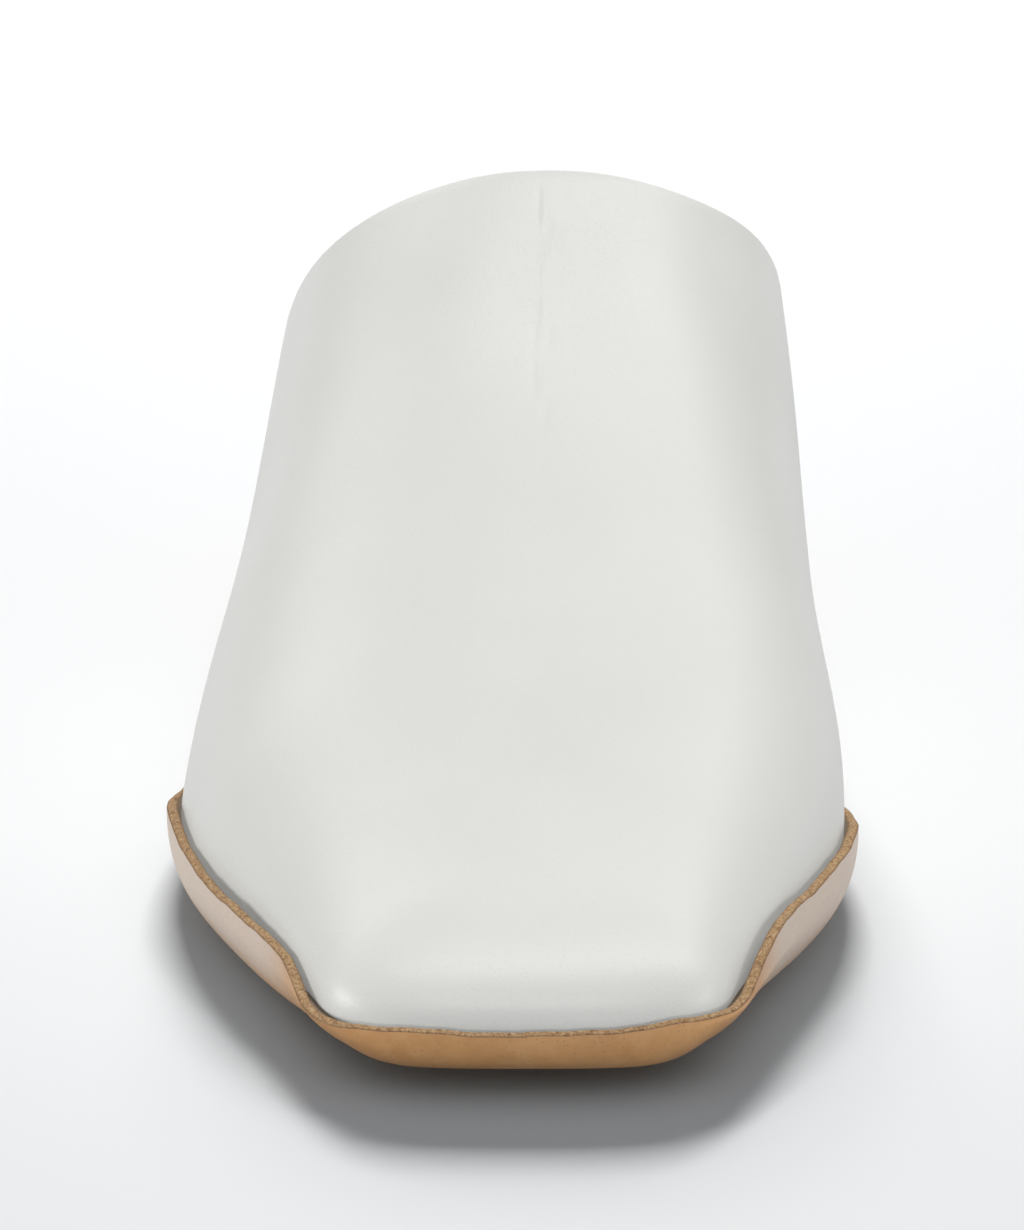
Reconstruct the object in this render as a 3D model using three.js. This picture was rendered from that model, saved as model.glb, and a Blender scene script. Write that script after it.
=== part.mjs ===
import * as THREE from "three";

// A slip-on mule for the right foot, standing on its sole. Millimetres: x runs from the lateral side (-)
// to the medial side (+), y from the toe (-) to the heel (+), z up from the floor.
// Sections stand at stations s, the distance behind the front edge of the sole.

const LENGTH = 256; // sole, from the toe to the back of the heel
const SOLE_T = 3; // outsole leather under the foot
const RIM_T = 1.5; // outsole leather where it turns up round the foot
const WALL = 2; // upper leather
const INSOLE_T = 2.5;
const TOP_PIECE_T = 4; // rubber under the heel
const GAP = 0.3; // air between neighbouring parts

const BODY_BACK = 2.2; // the foot's outline starts this far inside the ends of the sole
const TOE_ROUND = 13; // depth of the toe's corners in plan
const TOE_POWER = 3;
const HEEL_ROUND = 34;
const HEEL_POWER = 2.2;
const LOWER_POWER = 2.5; // squareness of the section under its widest level
const CORNER_POWER = 1.2; // and in the toe's corners, where the sole is pared away
const CORNER_TUCK = 2; // by which those corners turn in further

const RIDGE_START = 30; // ribs fan round the toe from this point of the ridge
const SPINE_END = 222; // and round the heel from this one
const THROAT = 146; // the topline crosses the ridge here
const SIDE_END = 188; // and goes down behind the sole's rim here
const BREAST = 200; // front face of the heel

const UPPER_LOW = 55; // degrees below the widest level where the upper ends, against the insole
const INSOLE_EDGE = 63; // degrees where the insole starts under the upper
const INSOLE_SEAT = 34; // and where it has spread out behind the collar
const HEEL_EDGE = 50; // degrees of the sole's underside that the heel reaches up to
const HEEL_TAPER = 0.97; // bottom of the heel against its top

// Half widths of the foot's shape at its widest level.
const plan = stations("s lateral medial", [
  [0, 22.5, 25.6],
  [20, 27.6, 30.2],
  [45, 35.4, 37.3],
  [68, 43, 43.8],
  [88, 46, 45.6],
  [110, 45.2, 43.2],
  [140, 41.8, 38.4],
  [170, 38.2, 36.4],
  [200, 35.4, 34.2],
  [228, 33.4, 32.6],
  [256, 32, 31],
]);
// Underside of the sole: toe spring, flat forefoot (cut off at the floor), arch and heel seat.
const base = stations("s z", [
  [0, 3.6],
  [20, 1.9],
  [45, 0.1],
  [60, -0.4],
  [80, -0.5],
  [100, -0.1],
  [120, 1.1],
  [150, 4.6],
  [190, 9.2],
  [225, 10.8],
  [256, 12],
]);
// Widest level of the section, and how far the foot's shape turns in below it.
const level = stations("s widest tuck", [
  [0, 9.5, 5],
  [14, 9.5, 6],
  [45, 9.5, 9.4],
  [75, 9.5, 11],
  [110, 11, 12],
  [150, 14, 10],
  [190, 17.2, 7],
  [225, 18.8, 6.3],
  [256, 20, 6],
]);
// Raw rim of the sole: its rise above the widest level and how far it stands off the upper.
const rim = stations("s riseLateral riseMedial standLateral standMedial", [
  [0, -0.3, -0.3, 0, 0],
  [10, 0.6, 1.2, 0.6, 0.5],
  [22, 1.8, 3.2, 0.3, 0.8],
  [45, 2.4, 3.6, 0.9, 0.3],
  [68, 2.4, 2.8, 0.3, 0.2],
  [80, 2.4, 1.4, 0.15, 0.2],
  [92, 0.5, -1.6, 0.1, 0.1],
  [110, -4.5, -4.5, 0, 0],
  [130, -5.5, -5.5, 0, 0],
  [160, -5, -5, 0, 0],
  [200, -3, -3, 0, 0],
  [256, -3, -3, 0, 0],
]);
// Ridge of the upper.
const crest = stations("s x z", [
  [0, 2.2, 17.2],
  [25, 2.2, 24],
  [50, 2.2, 33],
  [75, 2.4, 43.5],
  [100, 3, 56],
  [125, 3.7, 71.5],
  [146, 4.2, 86.5],
  [170, 4.2, 99.5],
]);
// Shape of the section above the widest level: powers across (full) and up (square) of its curve,
// the share by which the lateral side leans in at the top, and how far the sides swell out.
const form = stations("s fullLateral fullMedial squareLateral squareMedial lean swellLateral swellMedial", [
  [0, 4, 4, 2.3, 2.3, 0, 0, 0],
  [25, 3.2, 3.2, 2.3, 2.3, 0, 0, 0],
  [60, 2.6, 2.8, 2.3, 2.3, 0.02, 0.1, 0.3],
  [90, 2.5, 3, 2.4, 2.4, 0.08, -0.5, 0.2],
  [120, 2.35, 3, 2.7, 2.6, 0.17, -0.3, 1.5],
  [146, 2.35, 2.5, 3.1, 3.4, 0.21, 0, 3.8],
  [172, 2.3, 4.9, 3.5, 3.5, 0.19, -0.1, 2.9],
  [200, 2.3, 4.9, 3.5, 3.5, 0.19, -0.1, 2.9],
]);

// Rows along the outline: to the end of the collar, to the breast, to the back of the heel.
const ROWS = [36, 2, 15];
const TURN = 26; // one radian of turn counts as this much length when rows are spaced

// A natural cubic spline through each column of a table, as a function of the first column.
function stations(names, rows) {
  const s = rows.map((row) => row[0]);
  const columns = names.split(" ").slice(1);
  return Object.fromEntries(
    columns.map((name, k) => [name, spline(s, rows.map((row) => row[k + 1]))]),
  );
}

function spline(x, y) {
  const n = x.length;
  const bend = new Array(n).fill(0);
  const upper = new Array(n).fill(0);
  const right = new Array(n).fill(0);
  for (let i = 1; i < n - 1; i++) {
    const a = x[i] - x[i - 1];
    const b = x[i + 1] - x[i];
    const pivot = 2 * (a + b) - a * upper[i - 1];
    const jump = 6 * ((y[i + 1] - y[i]) / b - (y[i] - y[i - 1]) / a);
    upper[i] = b / pivot;
    right[i] = (jump - a * right[i - 1]) / pivot;
  }
  for (let i = n - 2; i > 0; i--) bend[i] = right[i] - upper[i] * bend[i + 1];
  return (at) => {
    const q = Math.min(Math.max(at, x[0]), x[n - 1]);
    let k = 0;
    while (k < n - 2 && q > x[k + 1]) k++;
    const h = x[k + 1] - x[k];
    const t = q - x[k];
    const slope = (y[k + 1] - y[k]) / h - (h * (2 * bend[k] + bend[k + 1])) / 6;
    return y[k] + t * (slope + t * (bend[k] / 2 + (t * (bend[k + 1] - bend[k])) / (6 * h)));
  };
}

const clamp01 = (t) => Math.min(Math.max(t, 0), 1);
const mix = (a, b, t) => a + (b - a) * t;
const smooth = (a, b, s) => {
  const t = clamp01((s - a) / (b - a));
  return t * t * (3 - 2 * t);
};
const soften = (value, softness = 6) => softness * Math.log1p(Math.exp(value / softness));
const bottom = (s) => Math.max(0, base.z(s));
const centre = (s) => (plan.medial(s) - plan.lateral(s)) / 2;
const bySide = (side, lateral, medial) => (side < 0 ? lateral : medial);

// Share of the half width left at s: 0 at the tips of the toe and heel, 1 between their corners.
function roundedEnds(s, first, last) {
  const toe = clamp01((s - first) / TOE_ROUND);
  const heel = clamp01((last - s) / HEEL_ROUND);
  const a = (1 - (1 - toe) ** TOE_POWER) ** (1 / TOE_POWER);
  const b = (1 - (1 - heel) ** HEEL_POWER) ** (1 / HEEL_POWER);
  return a * b;
}

// How far a point belongs to a toe corner, by its run along the outline from the middle of the toe.
function cornerShare(side, run) {
  const [strength, fades] = side < 0 ? [0.8, 62] : [0.85, 84];
  return strength * smooth(14, 28, run) * (1 - smooth(30, fades, run));
}

// Half of the foot's outline, toe to heel, as points { x, s, nx, ns, corner }: (nx, ns) points outward.
function outline(side) {
  const first = BODY_BACK;
  const last = LENGTH - BODY_BACK;
  const count = 4000;
  const line = [];
  for (let i = 0; i <= count; i++) {
    const s = mix(first, last, (1 - Math.cos((Math.PI * i) / count)) / 2);
    const width = bySide(side, plan.lateral, plan.medial)(s);
    const x = mix(centre(s), side * width, roundedEnds(s, first, last));
    line.push({ x, s });
  }
  line.forEach((p, i) => {
    const a = line[Math.max(i - 1, 0)];
    const b = line[Math.min(i + 1, count)];
    p.turn = Math.atan2(b.s - a.s, side * (b.x - a.x));
  });
  line[0].turn = 0;
  line[count].turn = Math.PI;
  let run = 0;
  let cost = 0;
  line.forEach((p, i) => {
    const q = line[Math.max(i - 1, 0)];
    const step = Math.hypot(p.x - q.x, p.s - q.s);
    run += step;
    cost += step + TURN * Math.abs(p.turn - q.turn);
    p.run = run;
    p.cost = cost;
  });
  const marks = [first, SIDE_END, BREAST, last].map((s) => at(line, "s", s).cost);
  const points = [];
  ROWS.forEach((n, k) => {
    for (let i = k ? 1 : 0; i <= n; i++) points.push(at(line, "cost", mix(marks[k], marks[k + 1], i / n)));
  });
  return points.map(({ x, s, turn, run: along }) => {
    const corner = cornerShare(side, along);
    return { x, s, nx: side * Math.sin(turn), ns: -Math.cos(turn), corner };
  });
}

// The point of a dense line where one of its values reaches a target.
function at(line, key, target) {
  let low = 0;
  let high = line.length - 1;
  while (high - low > 1) {
    const half = (low + high) >> 1;
    if (line[half][key] > target) high = half;
    else low = half;
  }
  const [a, b] = [line[low], line[high]];
  const t = clamp01((target - a[key]) / (b[key] - a[key] || 1));
  return Object.fromEntries(Object.keys(a).map((name) => [name, mix(a[name], b[name], t)]));
}

const SIDES = [-1, 1];
const OUTLINES = SIDES.map(outline);
const COLLAR_ROWS = ROWS[0];
const ALL_ROWS = ROWS[0] + ROWS[1] + ROWS[2];
const BREAST_ROW = ROWS[0] + ROWS[1];

// A point of the section below the widest level, at an angle in radians under it, on the layer that
// lies `out` outside the upper and `up` above the sole's underside. Above the widest level it is upright.
function lowerPoint(p, angle, out, up) {
  const power = 2 / mix(LOWER_POWER, CORNER_POWER, p.corner);
  const c = angle < 0 ? 1 : Math.max(Math.cos(angle), 0) ** power;
  const sine = Math.sign(angle) * Math.abs(Math.sin(angle)) ** power;
  const tuck = level.tuck(p.s) + CORNER_TUCK * p.corner;
  const inset = (tuck + out) * c - tuck;
  const s = p.s + p.ns * inset;
  const widest = level.widest(p.s);
  const depth = widest - bottom(s) - (angle < 0 ? 0 : up);
  return [p.x + p.nx * inset, s, widest - depth * sine];
}

// One layer of the shoe's bottom: across each row from one side's edge angle, under the foot, to the other.
function bottomLayer({ rows, edge, wall, flat, out, up, stand }) {
  const [from, to] = rows;
  const grid = [];
  for (let i = from; i <= to; i++) {
    const middle = (OUTLINES[0][i].s + OUTLINES[1][i].s) / 2;
    const softened = RIDGE_START + soften(middle - RIDGE_START);
    const spine = SPINE_END - soften(SPINE_END - softened);
    const halves = SIDES.map((side, k) => {
      const p = OUTLINES[k][i];
      const start = edge(side, p);
      const half = [];
      for (let j = 0; j <= wall; j++) {
        const angle = mix(start, Math.PI / 2, j / wall);
        const [x, s, z] = lowerPoint(p, angle, out, up);
        const off = stand ? stand(side, p.s) * clamp01(1 - angle / 1.05) ** 2 : 0;
        half.push([x + p.nx * off, s + p.ns * off, z]);
      }
      const [x, s] = half[wall];
      for (let j = 1; j <= flat; j++) {
        const t = j / flat;
        const here = mix(s, spine, t);
        half.push([mix(x, centre(spine), t), here, bottom(here) + up]);
      }
      return half;
    });
    grid.push([...halves[0], ...halves[1].slice(0, -1).reverse()]);
  }
  return grid;
}

// Outer surface of the upper: ribs from the lateral lower edge over the ridge to the medial lower edge.
function upperGrid(top, low, inner) {
  const ridge = [];
  for (let i = 0; i <= COLLAR_ROWS; i++) {
    const middle = (OUTLINES[0][i].s + OUTLINES[1][i].s) / 2;
    ridge.push(soften(middle - RIDGE_START));
  }
  const span = ridge[COLLAR_ROWS] - ridge[0];
  const grid = [];
  for (let i = 0; i <= COLLAR_ROWS; i++) {
    const start = mix(RIDGE_START, THROAT, (ridge[i] - ridge[0]) / span);
    const halves = SIDES.map((side, k) => {
      const p = OUTLINES[k][i];
      const half = [];
      for (let j = 0; j <= top; j++) half.push(ribPoint(side, p, start, j / top));
      for (let j = 1; j <= low; j++) {
        const angle = ((UPPER_LOW * Math.PI) / 180) * (j / low);
        half.push(lowerPoint(p, angle, 0, SOLE_T + GAP));
      }
      return half;
    });
    grid.push([...halves[0].reverse(), ...halves[1].slice(1)]);
  }
  if (!inner) return grid;
  const normals = gridNormals(grid);
  return grid.map((row, i) =>
    row.map((point, j) => {
      const below = j < low ? low - j : j > low + 2 * top ? j - low - 2 * top : 0;
      if (!below) return point.map((value, k) => value - WALL * normals[i][j][k]);
      const angle = ((UPPER_LOW * Math.PI) / 180) * (below / low);
      return lowerPoint(OUTLINES[j < low ? 0 : 1][i], angle, -WALL, SOLE_T + GAP + WALL);
    }),
  );
}

// A point of a rib, v from 0 on the ridge to 1 at the widest level. Ribs run straight to the outline
// round the toe, and sweep back down the sides behind it.
function ribPoint(side, p, ridge, v) {
  const angle = (v * Math.PI) / 2;
  const full = bySide(side, form.fullLateral, form.fullMedial);
  const square = bySide(side, form.squareLateral, form.squareMedial);
  const swell = bySide(side, form.swellLateral, form.swellMedial);
  const width = bySide(side, plan.lateral, plan.medial);
  const back = smooth(25, 95, p.s);
  const reach = mix(Math.sin(angle) ** (2 / full(p.s)), v ** 2.6, back);
  const s = mix(ridge, p.s, reach);
  const section = mix(p.s, s, back);
  const across = Math.sin(angle) ** (2 / full(section));
  const up = Math.max(Math.cos(angle), 0) ** (2 / square(section));
  const half = mix(p.x, side * width(section), back);
  const lean = side < 0 ? form.lean(section) : 0;
  const middle = crest.x(s);
  const swollen = side * swell(section) * across * Math.sin(Math.PI * up);
  const x = middle + (half - middle) * across * (1 - lean * up) + swollen;
  const widest = level.widest(section);
  return [x, s, mix(widest, crest.z(s), up)];
}

function gridNormals(grid) {
  const shell = new THREE.BufferGeometry();
  const { index, folded } = gridIndex(grid, true, false);
  shell.setAttribute("position", new THREE.Float32BufferAttribute(grid.flat(2), 3));
  shell.setIndex(index);
  shell.computeVertexNormals();
  const normal = shell.getAttribute("normal");
  return grid.map((row, i) =>
    row.map((_, j) => {
      const k = folded(i, j);
      return [normal.getX(k), normal.getY(k), normal.getZ(k)];
    }),
  );
}

// Triangles of a grid. Where it folds, at the toe or at the heel, the two halves of a row are one line.
function gridIndex(grid, foldFirst, foldLast) {
  const rows = grid.length - 1;
  const columns = grid[0].length - 1;
  const folded = (i, j) => {
    const fold = (foldFirst && i === 0) || (foldLast && i === rows);
    return i * (columns + 1) + (fold ? Math.min(j, columns - j) : j);
  };
  const index = [];
  for (let i = 0; i < rows; i++) {
    for (let j = 0; j < columns; j++) {
      const [a, b, c, d] = [folded(i, j), folded(i, j + 1), folded(i + 1, j + 1), folded(i + 1, j)];
      index.push(a, b, c, a, c, d);
    }
  }
  return { index, folded };
}

// A closed body between two grids of one shape; `outer` faces the side its triangles turn to.
function between(outer, inner, foldFirst, foldLast) {
  const { index, folded } = gridIndex(outer, foldFirst, foldLast);
  const count = outer.length * outer[0].length;
  const rows = outer.length - 1;
  const columns = outer[0].length - 1;
  const all = [...index];
  for (let k = 0; k < index.length; k += 3) {
    all.push(index[k] + count, index[k + 2] + count, index[k + 1] + count);
  }
  const rim = [];
  for (let i = 0; i < rows; i++) {
    rim.push([folded(i + 1, 0), folded(i, 0)], [folded(i, columns), folded(i + 1, columns)]);
  }
  for (let j = 0; j < columns; j++) {
    if (!foldFirst) rim.push([folded(0, j), folded(0, j + 1)]);
    if (!foldLast) rim.push([folded(rows, j + 1), folded(rows, j)]);
  }
  for (const [a, b] of rim) all.push(a, a + count, b + count, a, b + count, b);
  const geometry = new THREE.BufferGeometry();
  const positions = [...outer.flat(), ...inner.flat()].flatMap(([x, s, z]) => [x, s - LENGTH / 2, z]);
  geometry.setAttribute("position", new THREE.Float32BufferAttribute(positions, 3));
  geometry.setIndex(all);
  return geometry;
}

function sole() {
  const edge = (side, { s, corner }) => {
    const rise = bySide(side, rim.riseLateral, rim.riseMedial)(s);
    const share = Math.abs(rise) / (level.widest(s) - bottom(s));
    return -Math.sign(rise) * Math.asin(share ** (mix(LOWER_POWER, CORNER_POWER, corner) / 2));
  };
  const stand = (side, s) => bySide(side, rim.standLateral, rim.standMedial)(s);
  const shape = { rows: [0, ALL_ROWS], edge, wall: 6, flat: 2, stand };
  const outer = bottomLayer({ ...shape, out: RIM_T + GAP, up: 0 });
  const inner = bottomLayer({ ...shape, out: GAP, up: SOLE_T });
  return between(inner, outer, true, true);
}

function insole() {
  const spread = (s) => smooth(SIDE_END + 1, BREAST + 4, s);
  const edge = (side, { s }) => (mix(INSOLE_EDGE, INSOLE_SEAT, spread(s)) * Math.PI) / 180;
  const shape = { rows: [0, ALL_ROWS], edge, wall: 3, flat: 2 };
  const under = SOLE_T + GAP;
  const lower = bottomLayer({ ...shape, out: 0, up: under });
  const upper = bottomLayer({ ...shape, out: -INSOLE_T, up: under + INSOLE_T });
  return between(upper, lower, true, true);
}

function heelBlock(tapered, topZ, bottomZ) {
  const edge = () => (HEEL_EDGE * Math.PI) / 180;
  const rows = [BREAST_ROW, ALL_ROWS];
  const top = bottomLayer({ rows, edge, wall: 2, flat: 2, out: RIM_T + 2 * GAP, up: -GAP });
  const lower = top.map((row) =>
    row.map(([x, s]) => {
      const [cx, cs] = [centre(SPINE_END), SPINE_END];
      return [cx + (x - cx) * HEEL_TAPER, cs + (s - cs) * HEEL_TAPER, bottomZ];
    }),
  );
  const upper = tapered ? top : lower.map((row) => row.map(([x, s]) => [x, s, topZ]));
  return between(upper, lower, false, true);
}

function upperShell() {
  return between(upperGrid(12, 3, false), upperGrid(12, 3, true), true, false);
}

const parts = {
  outsole: [sole(), 0xb07d4c, 0.6],
  upper: [upperShell(), 0xe6e6e0, 0.45],
  insole: [insole(), 0xd9c3a5, 0.7],
  heel: [heelBlock(true, null, TOP_PIECE_T + GAP), 0xa8794e, 0.6],
  heel_top_piece: [heelBlock(false, TOP_PIECE_T, 0), 0x4a4038, 0.8],
};

const group = new THREE.Group();
for (const [name, [geometry, color, roughness]] of Object.entries(parts)) {
  geometry.computeVertexNormals();
  const mesh = new THREE.Mesh(geometry, new THREE.MeshStandardMaterial({ color, roughness }));
  mesh.name = name;
  group.add(mesh);
}
// The origin lies on the floor under the middle of the shoe.
const bounds = new THREE.Box3().setFromObject(group);
const middle = bounds.getCenter(new THREE.Vector3());
for (const mesh of group.children) mesh.geometry.translate(-middle.x, -middle.y, -bounds.min.z);

export default group;
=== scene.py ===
"""A slip-on leather mule for the right foot: white vamp, tan sole with a turned-up raw rim, low heel."""

import math

import bmesh
import bpy
import numpy as np
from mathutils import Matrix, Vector


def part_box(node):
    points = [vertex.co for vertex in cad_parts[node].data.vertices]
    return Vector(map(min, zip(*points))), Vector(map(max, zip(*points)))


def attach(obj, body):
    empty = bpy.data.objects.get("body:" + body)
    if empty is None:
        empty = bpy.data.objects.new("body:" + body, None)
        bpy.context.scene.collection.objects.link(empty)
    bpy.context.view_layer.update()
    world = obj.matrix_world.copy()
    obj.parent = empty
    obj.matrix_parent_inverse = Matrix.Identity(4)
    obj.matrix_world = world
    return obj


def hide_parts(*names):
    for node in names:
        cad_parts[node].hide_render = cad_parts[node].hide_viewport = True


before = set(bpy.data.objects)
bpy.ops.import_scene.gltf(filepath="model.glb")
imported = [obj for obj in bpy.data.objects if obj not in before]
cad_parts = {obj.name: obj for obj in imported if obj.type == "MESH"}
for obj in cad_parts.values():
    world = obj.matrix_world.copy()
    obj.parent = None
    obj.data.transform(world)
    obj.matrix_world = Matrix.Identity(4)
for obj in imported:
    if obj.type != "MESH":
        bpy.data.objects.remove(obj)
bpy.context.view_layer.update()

# Millimetres, as a maker's chart gives them: s is the distance behind the front of the sole, x runs from
# the lateral side (-) to the medial side (+), z up from the floor. They become metres when a piece is made.
MM = 0.001
LENGTH = 256.0
# Thickness of the sole and of its rim, of the vamp's folded edge, its outer leather and lining, of the
# insole, of a lift of the heel and of its rubber top piece, and the gap kept between pieces.
SOLE_T, RIM_T = 3.0, 1.5
WALL, LEATHER, LINING_T, LINING_GAP = 2.0, 1.3, 0.6, 0.05
INSOLE_T, LIFT, TOP_PIECE_T = 2.5, 2.1, 4.0
GAP = 0.3
# How far the foot's outline stays behind the sole's front, how it rounds off at toe and heel, and the power
# of the section below its widest level.
BODY_BACK = 2.2
TOE_ROUND, TOE_POWER = 13.0, 3.0
HEEL_ROUND, HEEL_POWER = 34.0, 2.2
LOWER_POWER = 2.5
# The squared corners of the toe: for each side their strength and the distance along the edge where they
# end, then where they set in, where they begin to fade, and how they change the section.
CORNERS, CORNER_START, CORNER_FADE = {-1: (0.8, 62), 1: (0.85, 84)}, (14, 28), 30
CORNER_TUCK, CORNER_POWER = 2.0, 1.2
# Stations: where the ridge begins and the sole's middle line ends, where the vamp ends on its ridge and on
# its sides, and where the heel begins.
RIDGE_START, SPINE_END = 30.0, 222.0
THROAT, SIDE_END, BREAST = 146.0, 188.0, 200.0
# How far down the turn of the sole each piece's edge lies, and down to where the rim's stand-off reaches.
UPPER_LOW, INSOLE_EDGE, INSOLE_SEAT, HEEL_EDGE = np.radians([55.0, 63.0, 34.0, 50.0])
STAND_REACH = 1.05
# The vamp's ribs sweep back between these two stations, by this power of the way down.
SWEEP, SWEEP_POWER = (25, 95), 2.6
# How deep the vamp's topline is folded in, and between which depths the fold thins out.
FOLD, FOLD_STEP = 5.0, (4.4, 5.2)
# The heel: its foot as a share of its top, about half its width, the grooves between its lifts, and how its
# lower edge is rounded.
HEEL_TAPER, HEEL_HALF = 0.97, 32.0
GROOVE_DEPTH, GROOVE_WIDTH = 0.16, 0.22
FOOT_ROUND, FOOT_ROUND_HIGH = 0.45, 0.7
# How finely the pieces are drawn: points on the outline, length added per radian of its turn, columns from
# the vamp's ridge to its widest level, how they crowd at the ridge, columns below that level, the heel's
# rows with how they crowd at its foot, and, in metres, how near points are when they are welded.
FINE, TURN = 8001, 26.0
TOP, RIDGE_CROWD, LOW = 112, 1.5, 8
HEEL_ROWS, HEEL_CROWD = 37, 1.15
WELD = 2e-6


def lerp(a, b, t):
    """The straight blend from a to b as t goes from 0 to 1."""
    return a + (b - a) * t


def smooth(a, b, q):
    """The smooth step 3t^2 - 2t^3 as q goes from a to b."""
    t = np.clip((q - a) / (b - a), 0, 1)
    return t * t * (3 - 2 * t)


def spline(x, y):
    """The natural cubic spline through the points (x, y), as a function."""
    x, y = np.asarray(x, float), np.asarray(y, float)
    n, h = len(x), np.diff(x)
    rows, right = np.eye(n), np.zeros(n)
    for i in range(1, n - 1):
        rows[i, i - 1 : i + 2] = h[i - 1], 2 * (h[i - 1] + h[i]), h[i]
        right[i] = 6 * ((y[i + 1] - y[i]) / h[i] - (y[i] - y[i - 1]) / h[i - 1])
    bend = np.linalg.solve(rows, right)

    def curve(at):
        q = np.clip(at, x[0], x[-1])
        k = np.clip(np.searchsorted(x, q) - 1, 0, n - 2)
        t, step = q - x[k], h[k]
        slope = (y[k + 1] - y[k]) / step - step * (2 * bend[k] + bend[k + 1]) / 6
        return y[k] + t * (slope + t * (bend[k] / 2 + t * (bend[k + 1] - bend[k]) / (6 * step)))

    return curve


class Chart:
    """A table whose first column is the station; every other named column becomes a spline over it."""

    def __init__(self, names, rows):
        table = np.array(rows, float)
        for k, name in enumerate(names.split()[1:], start=1):
            setattr(self, name, spline(table[:, 0], table[:, k]))


# Half widths of the foot's shape at its widest level.
plan = Chart("s lateral medial", [
    (0, 22.5, 25.6), (20, 27.6, 30.2), (45, 35.4, 37.3), (68, 43, 43.8), (88, 46, 45.6), (110, 45.2, 43.2),
    (140, 41.8, 38.4), (170, 38.2, 36.4), (200, 35.4, 34.2), (228, 33.4, 32.6), (256, 32, 31),
])
# Underside of the sole: toe spring, flat forefoot (cut off at the floor), arch and heel seat.
base = Chart("s z", [
    (0, 3.6), (20, 1.9), (45, 0.1), (60, -0.4), (80, -0.5), (100, -0.1), (120, 1.1), (150, 4.6), (190, 9.2),
    (225, 10.8), (256, 12),
])
# Widest level of the section, and how far the foot's shape turns in below it.
level = Chart("s widest tuck", [
    (0, 9.5, 5), (14, 9.5, 6), (45, 9.5, 9.4), (75, 9.5, 11), (110, 11, 12), (150, 14, 10), (190, 17.2, 7),
    (225, 18.8, 6.3), (256, 20, 6),
])
# Raw rim of the sole: its rise above the widest level and how far it stands off the upper.
rim = Chart("s rise_lateral rise_medial stand_lateral stand_medial", [
    (0, -0.3, -0.3, 0, 0), (10, 0.6, 1.2, 0.6, 0.5), (22, 1.8, 3.2, 0.3, 0.8), (45, 2.4, 3.6, 0.9, 0.3),
    (68, 2.4, 2.8, 0.3, 0.2), (80, 2.4, 1.4, 0.15, 0.2), (92, 0.5, -1.6, 0.1, 0.1), (110, -4.5, -4.5, 0, 0),
    (130, -5.5, -5.5, 0, 0), (160, -5, -5, 0, 0), (200, -3, -3, 0, 0), (256, -3, -3, 0, 0),
])
# Ridge of the upper.
crest = Chart("s x z", [
    (0, 2.2, 17.2), (25, 2.2, 24), (50, 2.2, 33), (75, 2.4, 43.5), (100, 3, 56), (125, 3.7, 71.5),
    (146, 4.2, 86.5), (170, 4.2, 99.5),
])
# Shape of the section above the widest level: powers across (full) and up (square) of its curve, the share
# by which the lateral side leans in at the top, and how far the sides swell out.
form = Chart("s full_lateral full_medial square_lateral square_medial lean swell_lateral swell_medial", [
    (0, 4, 4, 2.3, 2.3, 0, 0, 0), (25, 3.2, 3.2, 2.3, 2.3, 0, 0, 0), (60, 2.6, 2.8, 2.3, 2.3, 0.02, 0.1, 0.3),
    (90, 2.5, 3, 2.4, 2.4, 0.08, -0.5, 0.2), (120, 2.35, 3, 2.7, 2.6, 0.17, -0.3, 1.5),
    (146, 2.35, 2.5, 3.1, 3.4, 0.21, 0, 3.8), (172, 2.3, 4.9, 3.5, 3.5, 0.19, -0.1, 2.9),
    (200, 2.3, 4.9, 3.5, 3.5, 0.19, -0.1, 2.9),
])
# A hand-cut wave of the rim across the toe: its height at distances along the edge from the toe's middle.
WAVE = {
    -1: [(0, 0), (9, 0.1), (15, 0.4), (19, 0.1), (25, -1), (31, -1.2), (38, -0.2), (50, 0.2), (64, 0)],
    1: [(0, 0), (10, 0.2), (20, 0.4), (26, -0.2), (31, -1), (38, -1), (48, 0.3), (58, 0.4), (70, 0)],
}
# Unevenness of the knife along the edge: height, length and phase of each wave.
KNIFE = [(0.10, 3.1, 0.3), (0.07, 1.7, 1.9), (0.05, 0.9, 4.1)]
# Fine creases of the vamp beside the ridge, from (s, x) to (s, x), with their width and depth.
CREASES = np.array([
    (145, 3.7, 137, 3.4, 0.50, 0.15), (139, 5.6, 134, 4.4, 0.45, 0.15), (138, 7.1, 133, 6.0, 0.45, 0.13),
    (135, 4.3, 130, 3.2, 0.50, 0.14), (132, 6.4, 127, 5.5, 0.50, 0.11), (129, 3.6, 121, 2.8, 0.55, 0.12),
    (124, 5.2, 119, 4.6, 0.50, 0.09), (120, 2.6, 112, 3.1, 0.65, 0.11), (114, 4.6, 107, 4.1, 0.75, 0.08),
])


def side_of(chart, name, side):
    """The lateral column of a chart for side -1, the medial one for side 1."""
    return getattr(chart, name + ("_" if name else "") + ("lateral" if side < 0 else "medial"))


def bottom(s):
    """Height of the sole's underside: the base curve, never under the floor."""
    return np.maximum(0, base.z(s))


def centre(s):
    """Middle of the outline at s: half the medial width less half the lateral one."""
    return (plan.medial(s) - plan.lateral(s)) / 2


def soften(value, softness=6.0):
    """A rounded ramp: softness times log(1 + e^(value / softness))."""
    return softness * np.logaddexp(0, value / softness)


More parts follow.
